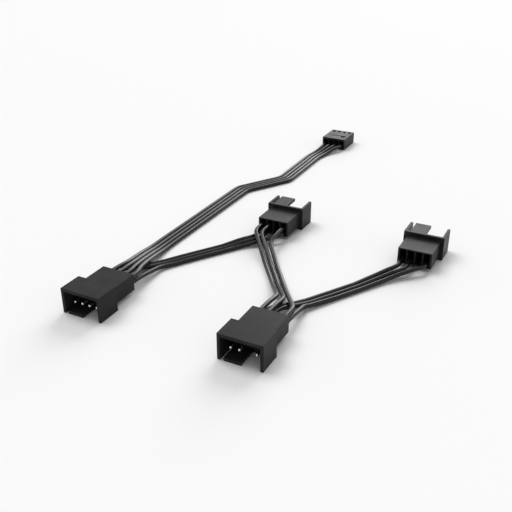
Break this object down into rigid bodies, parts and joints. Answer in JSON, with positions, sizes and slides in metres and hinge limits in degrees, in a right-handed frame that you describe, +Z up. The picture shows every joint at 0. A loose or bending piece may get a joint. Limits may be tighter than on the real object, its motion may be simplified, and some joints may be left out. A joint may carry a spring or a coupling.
{
  "type": "fan splitter cable",
  "caption": "Daisy-chain splitter cable: a female plug takes a board's fan header and feeds a chain of male connectors for more fans, over flat runs of thin black wires.",
  "frame": {"origin": "on the surface the cable lies on, under the middle of the box around its housings", "axes": "+X along each connector's row of terminals, +Y the way the female plug goes onto a header, +Z up from the surface"},
  "size_m": [0.0898, 0.181, 0.008],
  "materials": {
    "housing_plug_plastic": "satin black moulded plastic",
    "housing_a_plastic": "satin black moulded plastic",
    "housing_b_plastic": "satin black moulded plastic",
    "housing_c_plastic": "satin black moulded plastic",
    "housing_d_plastic": "satin black moulded plastic",
    "socket_1_tin": "tin plated sheet metal",
    "socket_2_tin": "tin plated sheet metal",
    "socket_3_tin": "tin plated sheet metal",
    "socket_4_tin": "tin plated sheet metal",
    "pin_a1_tin": "tin plated sheet metal",
    "pin_a2_tin": "tin plated sheet metal",
    "pin_a3_tin": "tin plated sheet metal",
    "pin_a4_tin": "tin plated sheet metal",
    "pin_b1_tin": "tin plated sheet metal",
    "pin_b2_tin": "tin plated sheet metal",
    "pin_b4_tin": "tin plated sheet metal",
    "pin_c1_tin": "tin plated sheet metal",
    "pin_c2_tin": "tin plated sheet metal",
    "pin_c4_tin": "tin plated sheet metal",
    "pin_d1_tin": "tin plated sheet metal",
    "pin_d2_tin": "tin plated sheet metal",
    "pin_d4_tin": "tin plated sheet metal",
    "lead_1_jacket": "satin black soft jacket",
    "lead_2_jacket": "satin black soft jacket",
    "lead_3_jacket": "satin black soft jacket",
    "lead_4_jacket": "satin black soft jacket",
    "link_ab_1_jacket": "satin black soft jacket",
    "link_ab_2_jacket": "satin black soft jacket",
    "link_ab_4_jacket": "satin black soft jacket",
    "link_bc_1_jacket": "satin black soft jacket",
    "link_bc_2_jacket": "satin black soft jacket",
    "link_bc_4_jacket": "satin black soft jacket",
    "link_cd_1_jacket": "satin black soft jacket",
    "link_cd_2_jacket": "satin black soft jacket",
    "link_cd_4_jacket": "satin black soft jacket"
  },
  "bodies": {
    "root": {"housing_plug": "housing_plug_plastic", "housing_a": "housing_a_plastic", "housing_b": "housing_b_plastic", "housing_c": "housing_c_plastic", "housing_d": "housing_d_plastic", "socket_1": "socket_1_tin", "socket_2": "socket_2_tin", "socket_3": "socket_3_tin", "socket_4": "socket_4_tin", "pin_a1": "pin_a1_tin", "pin_a2": "pin_a2_tin", "pin_a3": "pin_a3_tin", "pin_a4": "pin_a4_tin", "pin_b1": "pin_b1_tin", "pin_b2": "pin_b2_tin", "pin_b4": "pin_b4_tin", "pin_c1": "pin_c1_tin", "pin_c2": "pin_c2_tin", "pin_c4": "pin_c4_tin", "pin_d1": "pin_d1_tin", "pin_d2": "pin_d2_tin", "pin_d4": "pin_d4_tin", "lead_1": "lead_1_jacket", "lead_2": "lead_2_jacket", "lead_3": "lead_3_jacket", "lead_4": "lead_4_jacket", "link_ab_1": "link_ab_1_jacket", "link_ab_2": "link_ab_2_jacket", "link_ab_4": "link_ab_4_jacket", "link_bc_1": "link_bc_1_jacket", "link_bc_2": "link_bc_2_jacket", "link_bc_4": "link_bc_4_jacket", "link_cd_1": "link_cd_1_jacket", "link_cd_2": "link_cd_2_jacket", "link_cd_4": "link_cd_4_jacket"}
  },
  "joints": []
}
